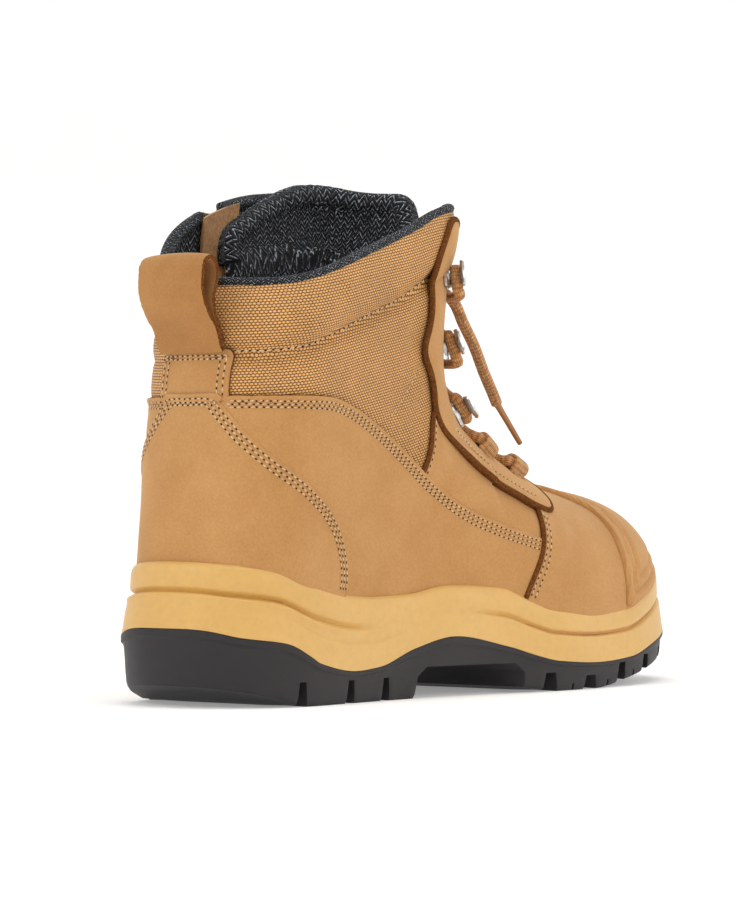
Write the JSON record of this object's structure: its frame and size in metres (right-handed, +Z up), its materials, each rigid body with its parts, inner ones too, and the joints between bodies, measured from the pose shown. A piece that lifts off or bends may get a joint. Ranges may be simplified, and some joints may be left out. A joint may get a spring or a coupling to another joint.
{
  "type": "zip safety boot",
  "caption": "Ankle-height work boot for the right foot: hollow leather and nylon upper, toe bumper, lugged rubber outsole, foam midsole, inner-side zip and hooked laces.",
  "frame": {"origin": "on the floor under the middle of the heel's flat pad", "axes": "+X towards the toe, +Y towards the inner side of the foot, +Z up"},
  "size_m": [0.305, 0.1106, 0.2],
  "materials": {
    "outsole_rubber": "matt",
    "midsole_foam": "satin moulded foam",
    "nubuck": "matt nubuck",
    "nylon_weave": "woven nylon",
    "knit_lining": "knit",
    "suede": "suede",
    "zip_tape": "woven tape",
    "zip_metal": "satin",
    "hook_steel": "satin",
    "lace_webbing": "ribbed webbing",
    "lace_cord": "braided cord",
    "aglet_plastic": "semi gloss"
  },
  "bodies": {
    "boot": {"outsole": "outsole_rubber", "midsole": "midsole_foam", "insole": "knit_lining", "upper": "nylon_weave", "heel_counter": "nubuck", "toe_bumper": "nubuck", "eyestay_lateral": "nubuck", "eyestay_medial": "nubuck", "back_strip": "nubuck", "pull_loop": "nubuck", "tongue": "knit_lining", "zip_guard": "suede", "zip_tape_front": "zip_tape", "zip_tape_rear": "zip_tape", "zip_teeth": "zip_metal", "zip_slider": "zip_metal", "hook_lateral_1": "hook_steel", "hook_lateral_2": "hook_steel", "hook_lateral_3": "hook_steel", "webbing_lateral_1": "lace_webbing", "webbing_lateral_2": "lace_webbing", "hook_medial_1": "hook_steel", "hook_medial_2": "hook_steel", "hook_medial_3": "hook_steel", "webbing_medial_1": "lace_webbing", "webbing_medial_2": "lace_webbing", "lace_crossings": "lace_cord", "lace_end": "lace_cord", "aglet": "aglet_plastic"},
    "pull_tab": {"zip_pull_tab": "zip_metal"}
  },
  "joints": [
    {"name": "zip_pull_tab_swing", "type": "hinge", "parent": "boot", "child": "pull_tab", "pos_m": [0.022, 0.04327, 0.18349], "axis": [1, 0, 0], "range_deg": [0, 150]}
  ]
}
